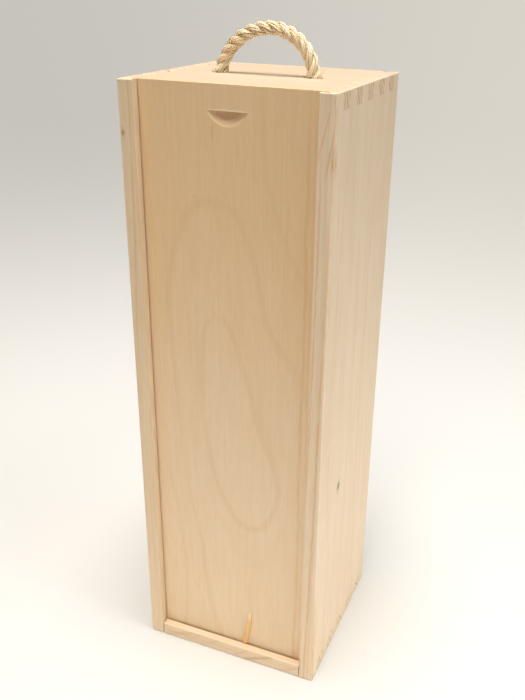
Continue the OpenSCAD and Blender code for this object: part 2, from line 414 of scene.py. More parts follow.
def useLine(tree, across, along, start, slope, bow, width, low, high):
    return useGroup(tree, grainAndShadowLine, {
        "Across": across, "Along": along, "Start": start, "Slope": slope, "Bow": bow,
        "Width": width, "From": low, "To": high})["Line"]


# pale planed softwood; each board is cut from another place in the log
pine = {
    "early": (0.83, 0.655, 0.455),
    "middle": (0.785, 0.595, 0.39),
    "late": (0.48, 0.30, 0.135),
    "line": (0.67, 0.34, 0.08),
    "endGrain": (0.83, 0.65, 0.44),
    "endLate": (0.25, 0.085, 0.020),
    "worn": (0.89, 0.73, 0.55),
    "roughness": (0.58, 0.70),
    "endDryness": 0.12,
    "lateGloss": -0.10,
    "bump": 0.35,
    "bumpDepth": 0.00012,
    "lateHeight": 0.5,
    "markHeight": -0.8,
    "wearReach": 0.0012,
    "endFacing": (0.5, 0.9),
    "sideFacing": (0.4, 0.8),
    "shares": {"patch": 0.5, "streak": 0.22, "end": 0.85, "endLine": 0.92, "halo": 0.30,
               "mark": 0.85, "worn": 0.5},
}
# pith: where the middle of the log lies from the board, seen along the grain. tone, upTone
# and endTone: the shares of the wood's colours on a board, on its upper face and on its ends;
# the upper face's cooler tone is painted light, the washed-out colour of a brightly lit top
boards = {
    "left_side": {"tone": (0.98, 0.96, 0.91), "endTone": (0.86, 0.86, 0.86), "along": "Z",
                  "pith": (-0.190, -0.105), "ring": 0.0036, "wobble": 0.006, "seed": 4.0,
                  "sharpness": 3.2, "least": 0.25, "faceLines": 0.36},
    "right_side": {"tone": (1.0, 1.0, 1.0), "endTone": (0.86, 0.86, 0.86), "along": "Z",
                   "pith": (-0.046, -0.121), "ring": 0.0029, "wobble": 0.004, "seed": 9.0,
                   "sharpness": 2.6, "least": 0.2, "faceLines": 0.22},
    "top_board": {"tone": (0.84, 0.84, 0.84), "upTone": (0.82, 0.84, 0.88),
                  "endTone": (0.99, 0.94, 0.89), "along": "X",
                  "pith": (0.138, 0.433), "ring": 0.0028, "wobble": 0.002, "seed": 2.0,
                  "sharpness": 3.0, "least": 0.85, "faceLines": 0.25},
    "bottom_board": {"tone": (1.0, 1.0, 1.0), "endTone": (1.0, 0.96, 0.92), "along": "X",
                     "pith": (0.120, 0.075), "ring": 0.0034, "wobble": 0.003, "seed": 6.0,
                     "sharpness": 3.7, "least": 0.7, "faceLines": 0.28},
}
# knots and pitch streaks that show outside: place, half size, lean, colour
boardMarks = {
    "left_side": [((-0.0549, -0.0530, 0.3242), (0.0008, 0.003, 0.0017), 0.0, (0.46, 0.24, 0.08))],
    "right_side": [((0.0565, -0.0190, 0.1235), (0.003, 0.0021, 0.0030), -0.15,
                    (0.20, 0.14, 0.09)),
                   ((0.0560, -0.0530, 0.3190), (0.0009, 0.002, 0.0040), 0.0,
                    (0.66, 0.36, 0.11))],
}
# single dark lines: the face, the place at zero, slope, bow, half width, from, to, strength
boardLines = {
    "left_side": [("front", -0.0743, 0.138, -0.20, 0.0010, 0.190, 0.420, 0.32)],
    "right_side": [("front", 0.0508, 0.0245, -0.035, 0.0009, -0.08, 0.330, 0.46),
                   ("front", 0.0445, 0.035, -0.055, 0.0008, 0.110, 0.345, 0.46),
                   ("front", -0.0262, 0.233, 0.0, 0.0007, 0.316, 0.345, 0.38),
                   ("front", 0.0003, 0.1667, 0.0, 0.0008, 0.309, 0.350, 0.50),
                   ("front", 0.0563, 0.0, 0.0, 0.0007, -0.06, 0.050, 0.80),
                   ("front", 0.0562, 0.0, 0.0, 0.0008, 0.290, 0.400, 0.60),
                   ("side", 0.02675, -0.14, 0.40, 0.0022, -0.06, 0.330, 0.22),
                   ("side", -0.02245, -0.19, 0.50, 0.0020, 0.040, 0.360, 0.17),
                   ("side", -0.0017, 0.0, 0.0, 0.0016, 0.140, 0.245, 0.18),
                   ("side", -0.0262, -0.012, 0.0, 0.0016, 0.290, 0.420, 0.18),
                   ("side", -0.0528, 0.0, 0.0, 0.0026, -0.08, 0.075, 0.80),
                   ("side", -0.0530, 0.0, 0.0, 0.0016, 0.200, 0.420, 0.65)],
    "bottom_board": [("lip", -0.00444, 0.442, 0.0, 0.0019, 0.002, 0.036, 0.50),
                     ("lip", 0.0154, 0.318, 0.0, 0.0022, -0.052, -0.020, 0.26),
                     ("lip", 0.0247, 0.80, 0.0, 0.0022, -0.031, -0.017, 0.20),
                     ("lip", 0.0119, 0.545, 0.0, 0.0022, -0.024, -0.004, 0.22),
                     ("lip", -0.0010, 0.667, 0.0, 0.0020, 0.001, 0.015, 0.16),
                     ("lip", -0.0170, 0.50, 0.0, 0.0020, 0.031, 0.052, 0.20)],
}


def shaded(colour, tone):
    return tuple(part * share for part, share in zip(colour, tone))


def makePine(name, board):
    material, tree, surface = startMaterial("pine_" + name)
    shares = pine["shares"]
    coordinates = addNode(tree, "TexCoord").outputs
    place = coordinates["Object"]
    parts, facing = split(tree, place), split(tree, coordinates["Normal"])
    log, lengthways = place, facing["Z"]
    if board["along"] == "X":
        log, lengthways = combine(tree, parts["Y"], parts["Z"], parts["X"]), facing["X"]
    rings = useGroup(tree, growthRings, {
        "Vector": log, "Pith X": board["pith"][0], "Pith Y": board["pith"][1],
        "Ring Width": board["ring"], "Wobble": board["wobble"], "Seed": board["seed"],
        "Sharpness": board["sharpness"], "Least": board["least"]})
    fibre = useGroup(tree, woodFibre, {"Vector": log, "Fineness": 1.0, "Length": 0.02})
    wear = useGroup(tree, edgeWear, {"Vector": place, "Middle": boxSize["middle"],
                                     "Half Size": boxSize["half"], "Reach": pine["wearReach"]})
    early, middle = [shaded(pine[key], board["tone"]) for key in ("early", "middle")]
    # painted light: a face that looks up takes a cooler tone, the washed-out colour of a brightly
    # lit top
    if "upTone" in board:
        upward = fade(tree, facing["Z"], *pine["endFacing"])
        early, middle = [tint(tree, upward, plain, shaded(pine[key], board["upTone"]))
                         for key, plain in (("early", early), ("middle", middle))]
    wood = layer(tree, early, middle, fibre["Patch"], shares["patch"])
    wood = layer(tree, wood, pine["middle"], fibre["Streak"], shares["streak"], "MULTIPLY")
    endGrain = fade(tree, calc(tree, "ABSOLUTE", lengthways), *pine["endFacing"])
    wood = layer(tree, wood, shaded(pine["endGrain"], board["endTone"]), endGrain, shares["end"])
    onFace = times(tree, minus(tree, 1.0, endGrain), board["faceLines"])
    wood = layer(tree, wood, pine["late"], rings["Late Wood"], onFace)
    onEnd = times(tree, endGrain, shares["endLine"])
    wood = layer(tree, wood, pine["endLate"], rings["Late Wood"], onEnd)
    forward = fade(tree, times(tree, facing["Y"], -1.0), *pine["sideFacing"])
    sideways = fade(tree, calc(tree, "ABSOLUTE", facing["X"]), *pine["sideFacing"])
    faces = {"front": (parts["X"], parts["Z"], forward, pine["line"]),
             "side": (parts["Y"], parts["Z"], sideways, pine["line"]),
             "lip": (parts["Z"], parts["X"], forward, pine["late"])}
    for face, *course, strength in boardLines.get(name, []):
        across, along, facingIt, colour = faces[face]
        line = useLine(tree, across, along, *course)
        wood = layer(tree, wood, colour, times(tree, line, facingIt), strength)
    height = timesPlus(tree, rings["Late Wood"], pine["lateHeight"], fibre["Height"])
    for spot, size, lean, colour in boardMarks.get(name, []):
        mark = useMark(tree, place, spot, size, lean)
        wood = layer(tree, wood, pine["late"], mark["Halo"], shares["halo"])
        wood = layer(tree, wood, colour, mark["Mark"], shares["mark"])
        height = timesPlus(tree, mark["Mark"], pine["markHeight"], height)
    wood = layer(tree, wood, pine["worn"], wear["Edge"], shares["worn"])
    gloss = times(tree, rings["Late Wood"], pine["lateGloss"])
    rough = plus(tree, between(tree, fibre["Streak"], pine["roughness"]),
                 timesPlus(tree, endGrain, pine["endDryness"], gloss))
    finishSurface(tree, surface, wood, rough, height, pine["bump"], pine["bumpDepth"])
    return material


# bare plywood: a rotary-cut face veneer with soft arches, a darker cross ply inside
plywood = {
    "pale": (0.84, 0.655, 0.435),
    "golden": (0.805, 0.565, 0.315),
    "line": (0.66, 0.42, 0.18),
    "core": (0.80, 0.53, 0.32),
    "glue": (0.60, 0.37, 0.20),
    "worn": (0.87, 0.68, 0.47),
    "swayGrain": (1.0, 0.3, 0.40),
    "swayScale": 60.0,
    "swayRise": 1.6,
    "rippleGrain": (1.0, 0.3, 0.08),
    "rippleScale": 700.0,
    "ripple": (0.0008, 0.0, 0.007),
    "levelSteepness": 15.5,
    "lineCore": 0.15,
    "patchScale": 30.0,
    "patchiness": (0.30, 0.60, 0.45, 1.0),
    "innerZone": (0.95, 1.05, 0.0, 0.4),
    "outerZone": (1.90, 2.0, 0.0, 0.6),
    "paintedShadeTowardsTopShare": (0.05, 0.85),
    "fleckGrain": (1.0, 1.0, 0.09),
    "fleckScale": 2200.0,
    "fleck": (0.60, 0.74),
    "fleckHeight": -0.6,
    "faceVeneer": 0.0015,
    "plyRaggedness": 0.00035,
    "coreFrom": (0.00012, 0.00026),
    "glueTo": (0.00030, 0.00048),
    "crossGrain": (0.12, 1.0, 1.0),
    "crossScale": 1500.0,
    "coreDryness": 0.15,
    "roughness": (0.50, 0.64),
    "bump": 0.25,
    "bumpDepth": 0.00008,
    "wearReach": 0.0008,
    "shares": {"zone": 0.15, "patch": 0.2, "streak": 0.14, "arch": 0.26, "fleck": 0.16,
               "mark": 0.6, "glue": 0.3, "worn": 0.35},
}
# the figure of each sheet: the rings of the log show as nested loops. At heights on the
# sheet: how many loops from the middle one, where their middle lies, their half width, and
# how fast the outer loops follow each other to the left and right of the middle one; then
# the loops that show as lines (number, half width, strength), single lines that bend slowly
# (place at zero, slope, bow, half width, from, to, strength), and between which heights
# the sheet turns from pale to golden. On the lid the last single line is a painted shadow
# beside the right side board, and the turn to golden is painted shade that darkens the upper part
sheets = {
    "lid": {"level": [(0.0, -1.75), (0.056, -1.33), (0.099, -1.0), (0.165, 0.0),
                      (0.231, 1.0), (0.2925, 1.94), (0.35, 2.50)],
            "axis": [(0.0, 0.017), (0.056, 0.0155), (0.107, 0.0115), (0.131, 0.0093),
                     (0.163, 0.0015), (0.206, -0.0046), (0.252, -0.008), (0.35, -0.008)],
            "half": [(0.0, 0.027), (0.056, 0.024), (0.107, 0.0265), (0.131, 0.0240),
                     (0.163, 0.0170), (0.206, 0.0155), (0.252, 0.0180), (0.270, 0.0200),
                     (0.286, 0.0245), (0.2925, 0.030), (0.35, 0.034)],
            "left": [(0.0, 1.0), (0.056, 1.0), (0.093, 1.8), (0.134, 1.4), (0.160, 1.0),
                     (0.35, 1.0)],
            "right": [(0.0, 0.42), (0.195, 0.42), (0.250, 1.0), (0.35, 1.0)],
            "lines": [(1.0, 0.0028, 0.85), (1.22, 0.0026, 0.2), (1.94, 0.0029, 0.85)],
            "single": [(0.4222, -2.4081, 3.5959, 0.0026, 0.215, 0.365, 0.70),
                       (-0.0350, 0.1399, -1.4733, 0.0024, -0.02, 0.150, 0.65),
                       # a painted shadow along the lid beside the front strip of the right side
                       # board
                       (0.0420, 0.0, 0.0, 0.0013, -0.06, 0.410, 1.6)],
            "paintedShadeTowardsTop": (0.10, 0.33), "sway": 0.0035, "seed": 0.0},
    "back_panel": {"level": [(0.0, -2.6), (0.35, 2.4)],
                   "axis": [(0.0, -0.006), (0.16, -0.014), (0.35, 0.004)],
                   "half": [(0.0, 0.021), (0.2, 0.026), (0.35, 0.019)],
                   "left": [(0.0, 1.0), (0.35, 1.0)],
                   "right": [(0.0, 0.7), (0.35, 1.2)],
                   "lines": [(0.55, 0.0020, 0.5), (1.0, 0.0022, 0.9), (1.35, 0.0020, 0.5),
                             (1.8, 0.0022, 0.8), (2.3, 0.0022, 0.7)],
                   "single": [], "paintedShadeTowardsTop": (0.0, 0.5), "sway": 0.006, "seed": 5.0},
}
# marks on the lid: place, half size, lean, colour. The last is a painted highlight along the
# straight upper edge of the finger notch
lidMarksAndHighlight = [((-0.0193, -0.0475, 0.2952), (0.0006, 0.001, 0.0007), 0.0, (0.55, 0.40, 0.20)),
            ((-0.0080, -0.0475, 0.3270), (0.0006, 0.001, 0.0060), 0.0, (0.66, 0.45, 0.22)),
            ((0.0050, -0.0475, 0.3180), (0.0005, 0.001, 0.0070), 0.0, (0.70, 0.49, 0.27)),
            ((-0.0042, -0.0460, 0.3360), (0.0026, 0.003, 0.0010), 0.0, (0.56, 0.22, 0.05)),
            ((-0.0018, -0.0460, 0.3340), (0.0026, 0.003, 0.0010), 0.0, (0.80, 0.35, 0.08)),
            ((0.0, -0.0475, 0.3380), (0.0120, 0.001, 0.0005), 0.0, (0.95, 0.80, 0.60))]


# the lowest and highest value that each curve of a sheet can take
curveEnds = {"level": (-3.0, 3.0), "axis": (-0.03, 0.03), "half": (0.0, 0.04),
             "left": (0.0, 2.0), "right": (0.0, 2.0)}


# a smooth curve over the height of the box, through a sheet's points of height and value
def readCurve(tree, height, sheet, name):
    low, high = curveEnds[name]
    points = sheet[name]
    share = calc(tree, "DIVIDE", height, boxSize["top"], clamp=True)
    new = addNode(tree, "FloatCurve", {"Value": share})
    curve = new.mapping.curves[0]
    while len(curve.points) < len(points):
        curve.points.new(0.5, 0.5)
    for point, (at, value) in zip(curve.points, points):
        point.location = (at / boxSize["top"], (value - low) / (high - low))
    new.mapping.update()
    return between(tree, new.outputs["Value"], (low, high))


# the place on a sheet, with its figure swaying slowly and feathered finely along the grain
def bendFigure(tree, place, sheet):
    moved = vectorCalc(tree, "ADD", place, (sheet["seed"], 0.0, sheet["seed"]))
    sway = drift(tree, scaled(tree, moved, plywood["swayGrain"]), plywood["swayScale"], 3.0, 0.55)
    ripple = drift(tree, scaled(tree, place, plywood["rippleGrain"]), plywood["rippleScale"])
    reach = (sheet["sway"], 0.0, plywood["swayRise"] * sheet["sway"])
    bent = vectorCalc(tree, "MULTIPLY_ADD", sway, reach, place)
    return split(tree, vectorCalc(tree, "MULTIPLY_ADD", ripple, plywood["ripple"], bent))


# which loop each point lies on, and how many loops there are to a metre, so that a line
# along a loop keeps its width
def nestLoops(tree, parts, sheet):
    level, axis, half, left, right = [readCurve(tree, parts["Z"], sheet, name)
                                      for name in ("level", "axis", "half", "left", "right")]
    side = calc(tree, "DIVIDE", minus(tree, parts["X"], axis), half)
    rightOf = calc(tree, "MAXIMUM", minus(tree, side, 1.0), 0.0)
    leftOf = calc(tree, "MINIMUM", plus(tree, side, 1.0), 0.0)
    side = calc(tree, "MINIMUM", calc(tree, "MAXIMUM", side, -1.0), 1.0)
    side = timesPlus(tree, leftOf, left, timesPlus(tree, rightOf, right, side))
    loops = bothSteps(tree, side, level)
    steepness = bothSteps(tree, calc(tree, "DIVIDE", side, half),
                          times(tree, level, plywood["levelSteepness"]))
    return loops, calc(tree, "DIVIDE", steepness, loops)


def makePlywood(name, sheet, marksAndHighlight):
    material, tree, surface = startMaterial("plywood_" + name)
    shares = plywood["shares"]
    low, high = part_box(name)
    place = addNode(tree, "TexCoord").outputs["Object"]
    parts = bendFigure(tree, place, sheet)
    loops, density = nestLoops(tree, parts, sheet)
    arch = 0.0
    for number, width, strength in sheet["lines"]:
        gap = calc(tree, "DIVIDE", calc(tree, "ABSOLUTE", minus(tree, loops, number)), density)
        line = fade(tree, gap, plywood["lineCore"] * width, width, strength, 0.0)
        arch = plus(tree, line, arch)
    # lines that bend slowly: grain, except the lid's last one, which is a painted shadow beside its
    # right edge
    for *course, strength in sheet["single"]:
        arch = timesPlus(tree, useLine(tree, parts["X"], parts["Z"], *course), strength, arch)
    patchy = noise(tree, place, plywood["patchScale"])
    arch = times(tree, arch, fade(tree, patchy, *plywood["patchiness"]))
    zone = plus(tree, fade(tree, loops, *plywood["innerZone"]),
                fade(tree, loops, *plywood["outerZone"]))
    fibre = useGroup(tree, woodFibre, {"Vector": place, "Fineness": 0.8, "Length": 0.035})
    speckle = noise(tree, scaled(tree, place, plywood["fleckGrain"]), plywood["fleckScale"], 1.0)
    flecks = fade(tree, speckle, *plywood["fleck"])
    # painted shade: the sheet turns darker and more golden towards its top, where less light
    # reaches it
    paintedShadeTowardsTop = fade(tree, parts["Z"], *sheet["paintedShadeTowardsTop"], *plywood["paintedShadeTowardsTopShare"])
    shade = timesPlus(tree, zone, shares["zone"], times(tree, fibre["Patch"], shares["patch"]))
    golden = calc(tree, "ADD", paintedShadeTowardsTop, shade, clamp=True)
    face = tint(tree, golden, plywood["pale"], plywood["golden"])
    face = layer(tree, face, plywood["golden"], fibre["Streak"], shares["streak"], "MULTIPLY")
    face = layer(tree, face, plywood["line"], arch, shares["arch"])
    face = layer(tree, face, plywood["line"], flecks, shares["fleck"])
    # marks laid on the face; on the lid the last of them is a painted highlight along the notch's
    # edge
    for spot, size, lean, colour in marksAndHighlight:
        mark = useMark(tree, place, spot, size, lean)["Mark"]
        face = layer(tree, face, colour, mark, shares["mark"])
    # inside its face veneers a sheet shows a line of glue and then the cross ply
    depth = split(tree, place)["Y"]
    inset = calc(tree, "MINIMUM", minus(tree, depth, low.y), minus(tree, high.y, depth))
    ragged = timesPlus(tree, fibre["Height"], plywood["plyRaggedness"], inset)
    coreFrom, glueTo = [[plywood["faceVeneer"] + more for more in plywood[key]]
                        for key in ("coreFrom", "glueTo")]
    core = fade(tree, ragged, *coreFrom)
    glue = times(tree, core, fade(tree, ragged, *glueTo, 1.0, 0.0))
    crossGrain = noise(tree, scaled(tree, place, plywood["crossGrain"]), plywood["crossScale"])
    wood = tint(tree, core, face, tint(tree, crossGrain, plywood["core"], plywood["line"]))
    wood = layer(tree, wood, plywood["glue"], glue, shares["glue"])
    wear = useGroup(tree, edgeWear, {"Vector": place, "Middle": ((low + high) / 2)[:],
                                     "Half Size": ((high - low) / 2)[:],
                                     "Reach": plywood["wearReach"]})
    wood = layer(tree, wood, plywood["worn"], wear["Edge"], shares["worn"])
    rough = plus(tree, between(tree, fibre["Streak"], plywood["roughness"]),
                 times(tree, core, plywood["coreDryness"]))
    height = timesPlus(tree, flecks, plywood["fleckHeight"], fibre["Height"])
    finishSurface(tree, surface, wood, rough, height, plywood["bump"], plywood["bumpDepth"])
    return material


# a hair's breadth off every edge, so that joints and arrises catch the light
easedEdges = {
    "width": 0.00009,
    "weld": 0.00001,
    "leastAngle": 35.0,
}


def dressBoards():
    for name, board in boards.items():
        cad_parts[name].data.materials[0] = makePine(name, board)
    for name, sheet in sheets.items():
        marksAndHighlight = lidMarksAndHighlight if name == "lid" else []
        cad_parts[name].data.materials[0] = makePlywood(name, sheet, marksAndHighlight)
    for name in [*boards, *sheets]:
        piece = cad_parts[name]
        weld = piece.modifiers.new("weld", "WELD")
        weld.merge_threshold = easedEdges["weld"]
        bevel = piece.modifiers.new("eased edges", "BEVEL")
        bevel.width = easedEdges["width"]
        bevel.segments = 1
        bevel.limit_method = "ANGLE"
        bevel.angle_limit = math.radians(easedEdges["leastAngle"])
    print("boards, lid and back panel dressed")


# one piece of three-strand rope with a stopper knot on each end
rope = {
    "diameter": 0.007,
    "span": 0.0516,
    "rise": 0.0227,
    "legRadius": 0.016,
    "lean": 0.0019,
    "lay": 0.0174,
    "strands": 3,
    "strandOff": 0.00178,
    "yarns": 8,
    "yarnOff": 0.00114,
    "yarnRadius": 0.00053,
    "yarnTurn": 0.0135,
    "sides": 7,
    "ring": 0.0008,
    "swell": 0.20,
    "swellReach": 0.0018,
    "archSwell": 0.05,
    "archSwellReach": 0.004,
    "mouthLift": 0.0004,
    "wander": 0.22,
    "wanderReach": 0.006,
    "thickReach": 0.004,
    "offVaries": 0.07,
    "radiusVaries": 0.13,
    "radiusWanders": 0.05,
    "fibreShift": (0.01, 0.003),
    "roughness": (0.42, 0.68),
    "pale": (0.97, 0.88, 0.68),
    "golden": (0.88, 0.71, 0.46),
    # shade, shadeFrom and shadeShare: the painted shade of yarns that lie deep between the strands
    "shade": (0.68, 0.44, 0.20),
    "shadeFrom": (0.52, 0.92),
    "shadeShare": 0.42,
    "fibreGrain": (1.0, 1.0, 0.03),
    "fibreScale": 6500.0,
    "fibre": (0.42, 0.66),
    "fibreShare": 0.5,
    "bandGrain": (1.0, 1.0, 0.12),
    "bandScale": 700.0,
    "band": (0.35, 0.65),
    "glow": {"Weight": 0.12, "Radius": (0.8, 0.5, 0.25), "Scale": 0.0015},
    "bump": 0.6,
    "bumpDepth": 0.0002,
}
# the course below each hole, from its mouth to the cut end: outwards, back, up
knotCourse = [
    (0, 0, -3.8), (0, 0, -8.5), (-0.5, -0.5, -13), (-2, 0, -18),
    (-2.5, 3.5, -22.5), (1, 7, -26), (7, 7.5, -27), (12, 4.5, -25.5),
    (13.5, -1.5, -21.5), (9.5, -7, -17.5), (3.5, -9, -15.5), (-2.5, -9, -13.5),
    (-7.5, -5.5, -12.5), (-8.5, 0.5, -12.5), (-6, 6, -14), (0, 8, -16),
    (4.5, 5, -18), (5, -0.5, -22), (4, -2, -27.5), (3, -1.5, -33),
]
millimetre = 0.001


def archPoints():
    half = rope["span"] / 2
    legX = half - rope["legRadius"]
    over = rope["rise"] - rope["legRadius"]
    drop = (legX * legX - over * over) / (2 * over)
    crownRadius = rope["rise"] + drop
    meet = math.atan2(drop, legX)
    points = []
    for i in range(5):
        angle = math.pi - meet * i / 5
        points.append((-legX + rope["legRadius"] * math.cos(angle), 0.0,
                       rope["legRadius"] * math.sin(angle)))
    for i in range(17):
        angle = math.pi - meet - (math.pi - 2 * meet) * i / 16
        points.append((crownRadius * math.cos(angle), 0.0, -drop + crownRadius * math.sin(angle)))
    for i in range(4, -1, -1):
        angle = meet * i / 5
        points.append((legX + rope["legRadius"] * math.cos(angle), 0.0,
                       rope["legRadius"] * math.sin(angle)))
    return [(x + rope["lean"] * z / rope["rise"], y, z) for x, y, z in points]


# how far along a line each of its points lies
def runAlong(line):
    return np.concatenate([[0], np.cumsum(np.linalg.norm(np.diff(line, axis=0), axis=1))])


def unit(rows):
    return rows / np.linalg.norm(rows, axis=1)[:, None]


# points every step along a smooth curve through the given ones
def evenCurve(points, step):
    p = np.array(points, float)
    ends = np.vstack([2 * p[0] - p[1], p, 2 * p[-1] - p[-2]])
    t = np.linspace(0, 1, 24, endpoint=False)[:, None]
    pieces = []
    for a, b, c, d in zip(ends[:-3], ends[1:-2], ends[2:-1], ends[3:]):
        pieces.append((2 * b + (c - a) * t + (2 * a - 5 * b + 4 * c - d) * t ** 2
                       + (3 * b - a - 3 * c + d) * t ** 3) / 2)
    line = np.vstack([*pieces, p[-1:]])
    run = runAlong(line)
    wanted = np.linspace(0, run[-1], int(round(run[-1] / step)) + 1)
    return np.column_stack([np.interp(wanted, run, line[:, i]) for i in range(3)])


def ropeCourse():
    half = rope["span"] / 2
    right = [(half + x * millimetre, y * millimetre, z * millimetre) for x, y, z in knotCourse]
    left = [(-x, -y, z) for x, y, z in right]
    points = [*reversed(left), *archPoints(), *right]
    return evenCurve([(x, y, z + boxSize["top"]) for x, y, z in points], rope["ring"])


# heading of a line at each point, and two directions square to it that don't twist
def framesAlong(line):
    heading = unit(np.gradient(line, axis=0))
    first = np.cross(heading[0], (0.0, 1.0, 0.0))
    first /= np.linalg.norm(first)
    sides = [first]
    for i in range(1, len(line)):
        side = sides[-1] - heading[i] * (sides[-1] @ heading[i])
        sides.append(side / np.linalg.norm(side))
    sides = np.array(sides)
    return heading, sides, np.cross(heading, sides)


def addPiece(name, mesh, material):
    mesh.polygons.foreach_set("use_smooth", [True] * len(mesh.polygons))
    mesh.materials.append(material)
    piece = bpy.data.objects.new(name, mesh)
    bpy.context.scene.collection.objects.link(piece)
    return piece


# a mesh gathered from round tubes, with each tube's straightened coordinates kept
class TubeSet:
    def __init__(self):
        self.points, self.faces, self.fibre, self.open = [], [], [], []
        self.count = 0

    def add(self, line, radii, sides, index, openness):
        _, side, up = framesAlong(line)
        angle = np.linspace(0, 2 * math.pi, sides, endpoint=False)
        ring = (np.cos(angle)[None, :, None] * side[:, None, :]
                + np.sin(angle)[None, :, None] * up[:, None, :])
        points = line[:, None, :] + radii[:, None, None] * ring
        shiftX, shiftY = rope["fibreShift"]
        flat = np.zeros_like(points)
        flat[..., 0] = radii[:, None] * np.cos(angle)[None, :] + shiftX * index
        flat[..., 1] = radii[:, None] * np.sin(angle)[None, :] + shiftY * index
        flat[..., 2] = runAlong(line)[:, None]
        rows = np.arange(len(line) - 1)[:, None] * sides + self.count
        k = np.arange(sides)[None, :]
        nextK = (k + 1) % sides
        quads = np.stack([rows + k, rows + nextK, rows + sides + nextK, rows + sides + k], -1)
        self.points.append(points.reshape(-1, 3))
        self.fibre.append(flat.reshape(-1, 3))
        self.open.append(openness(points).reshape(-1))
        self.faces.extend(quads.reshape(-1, 4).tolist())
        start, last = self.count, self.count + (len(line) - 1) * sides
        self.faces.append([start + i for i in range(sides - 1, -1, -1)])
        self.faces.append([last + i for i in range(sides)])
        self.count += len(line) * sides

    def build(self, name, material):
        mesh = bpy.data.meshes.new(name)
        mesh.from_pydata(np.vstack(self.points).tolist(), [], self.faces)
        fibre = mesh.attributes.new("fibrePlace", "FLOAT_VECTOR", "POINT")
        fibre.data.foreach_set("vector", np.vstack(self.fibre).astype(np.float32).ravel())
        openness = mesh.attributes.new("openness", "FLOAT", "POINT")
        openness.data.foreach_set("value", np.concatenate(self.open).astype(np.float32))
        return addPiece(name, mesh, material)


def makeSisal():
    material, tree, surface = startMaterial("sisal_rope", 0.5)
    place = addNode(tree, "Attribute", attribute_name="fibrePlace").outputs["Vector"]
    openness = addNode(tree, "Attribute", attribute_name="openness").outputs["Fac"]
    fine = noise(tree, scaled(tree, place, rope["fibreGrain"]), rope["fibreScale"], 3.0, 0.6)
    broad = noise(tree, scaled(tree, place, rope["bandGrain"]), rope["bandScale"])
    strawy = tint(tree, fade(tree, broad, *rope["band"]), rope["pale"], rope["golden"])
    fibres = layer(tree, strawy, rope["golden"], fade(tree, fine, *rope["fibre"]),
                   rope["fibreShare"], "MULTIPLY")
    # painted shade: yarns that lie deep in the rope, between its strands, are darkened towards the
    # shade colour
    depth = fade(tree, openness, *rope["shadeFrom"], 1.0, 0.0)
    colour = layer(tree, fibres, rope["shade"], depth, rope["shadeShare"])
    for key, value in rope["glow"].items():
        surface["Subsurface " + key].default_value = value
    finishSurface(tree, surface, colour, between(tree, fine, rope["roughness"]), fine,
                  rope["bump"], rope["bumpDepth"])
    return material


def smoothNoise(length, step, reach, seed):
    count = max(4, int(length * step / reach) + 4)
    rng = np.random.default_rng(seed)
    knots = rng.uniform(-1, 1, count)
    return np.interp(np.linspace(0, count - 1, length), np.arange(count), knots)


def makeRope(material):
    course = ropeCourse()
    _, side, up = framesAlong(course)
    run = np.arange(len(course)) * rope["ring"]
    # the rope swells where it comes out of each hole
    offMouth = course[:, 2] - (boxSize["top"] + rope["mouthLift"])
    swell = 1 + rope["swell"] * np.exp(-(offMouth / rope["swellReach"]) ** 2)
    swell += rope["archSwell"] * np.clip(offMouth / rope["archSwellReach"], 0, 1)
    radius = rope["diameter"] / 2
    tubes = TubeSet()

    def openness(points):
        return np.linalg.norm(points - course[:, None, :], axis=2) / radius

    for strand in range(rope["strands"]):
        turn = 2 * math.pi * (run / rope["lay"] + strand / rope["strands"])
        out = np.cos(turn)[:, None] * side + np.sin(turn)[:, None] * up
        centre = course + (rope["strandOff"] * swell)[:, None] * out
        strandHeading = unit(np.gradient(centre, axis=0))
        outward = unit(out - strandHeading * np.sum(out * strandHeading, axis=1)[:, None])
        sideways = np.cross(strandHeading, outward)
        for yarn in range(rope["yarns"]):
            number = strand * rope["yarns"] + yarn
            wander = smoothNoise(len(course), rope["ring"], rope["wanderReach"], 100 + number)
            thick = smoothNoise(len(course), rope["ring"], rope["thickReach"], 300 + number)
            angle = 2 * math.pi * (yarn / rope["yarns"] - run / rope["yarnTurn"])
            angle = angle + rope["wander"] * wander
            off = rope["yarnOff"] * swell * (1 + rope["offVaries"] * thick)
            line = centre + (off * np.cos(angle))[:, None] * outward
            line = line + (off * np.sin(angle))[:, None] * sideways
            radii = rope["yarnRadius"] * (1 + rope["radiusVaries"] * wander * thick
                                          + rope["radiusWanders"] * wander)
            tubes.add(line, radii, rope["sides"], number, openness)
    return tubes.build("rope", material), course


# loose fibre ends: thin tapering hairs that leave the rope along its yarns. Where a hair
# would lie in a hole or reach the board's underside it is cut short; depths are below the top
hairs = {
    "count": 1100,
    "length": (0.0016, 0.0058),
    "radius": 0.000055,
    "tipShare": 0.35,
    "rings": 6,
    "endGap": 4,
    "root": 0.86,
    "alongRope": (0.6, 1.0),
    "offRope": (0.05, 0.42),
    "curl": 0.30,
    "outCurl": 0.15,
    "cutShort": 0.0012,
    "holeDepth": 0.012,
    "holeRise": 0.001,
    "underside": 0.0085,
}
# how the hairs of a tuft differ from each other
tuftShape = {
    "spread": 0.0008,
    "flatSpread": (1, 1, 0.3),
    "leanVaries": 0.25,
    "curl": 0.2,
    "thicker": 1.5,
    "offBoard": 0.0001,
}
